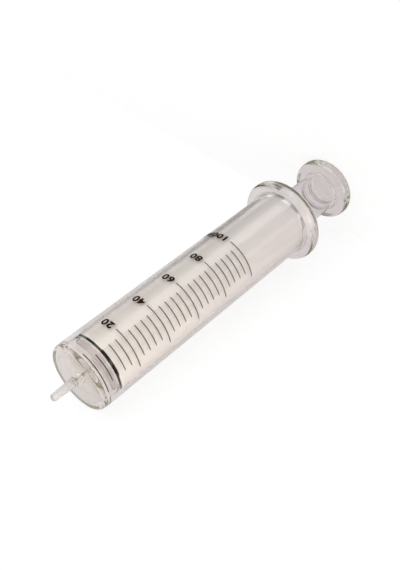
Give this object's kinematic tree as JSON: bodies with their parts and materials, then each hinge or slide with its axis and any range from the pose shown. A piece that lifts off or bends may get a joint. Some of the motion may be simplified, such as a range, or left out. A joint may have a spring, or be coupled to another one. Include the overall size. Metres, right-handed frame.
{
  "type": "glass luer slip syringe",
  "caption": "All-glass syringe: graduated barrel with round finger flange and plain tapered luer slip nozzle, hollow ground plunger with index ring and flat thumb knob.",
  "frame": {"origin": "centre of the thumb knob's outer face, on the axis", "axes": "+Z along the axis towards the nozzle; the middle of the graduation faces -Y"},
  "size_m": [0.0512, 0.0512, 0.2218],
  "materials": {
    "barrel_glass": "clear blown glass, ground nozzle",
    "plunger_glass": "blown glass with a finely ground cylinder",
    "black_enamel": "fired enamel",
    "brown_enamel": "fired enamel"
  },
  "bodies": {
    "plunger": {"plunger": "plunger_glass", "index_ring": "black_enamel"},
    "barrel": {"barrel": "barrel_glass", "graduation": "brown_enamel"}
  },
  "joints": [
    {"name": "barrel_slide", "type": "slide", "parent": "plunger", "child": "barrel", "axis": [0, 0, 1], "range_m": [0, 0.10635]}
  ]
}
